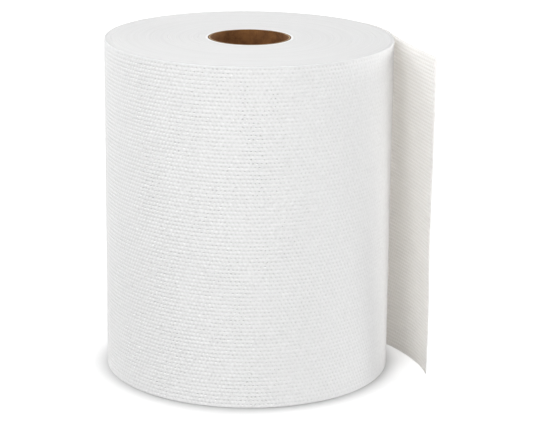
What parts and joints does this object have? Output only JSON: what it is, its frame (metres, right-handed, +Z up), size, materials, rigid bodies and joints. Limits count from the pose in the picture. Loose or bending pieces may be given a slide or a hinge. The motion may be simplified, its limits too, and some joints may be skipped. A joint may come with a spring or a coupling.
{
  "type": "paper towel roll",
  "caption": "Embossed white paper towel wound hard on a cardboard core, standing on its end, with the free end of the sheet pulled away at the side.",
  "frame": {"origin": "centre of the core's bore at the end that the roll stands on", "axes": "+Z up the core's axis; -Y is the front, and the free end of the sheet is on the +X side"},
  "size_m": [0.1962, 0.1732, 0.2032],
  "materials": {
    "towel_paper": "matt, embossed",
    "core_board": "matt brown board"
  },
  "bodies": {
    "root": {"paper_web": "towel_paper", "core_tube": "core_board"}
  },
  "joints": []
}
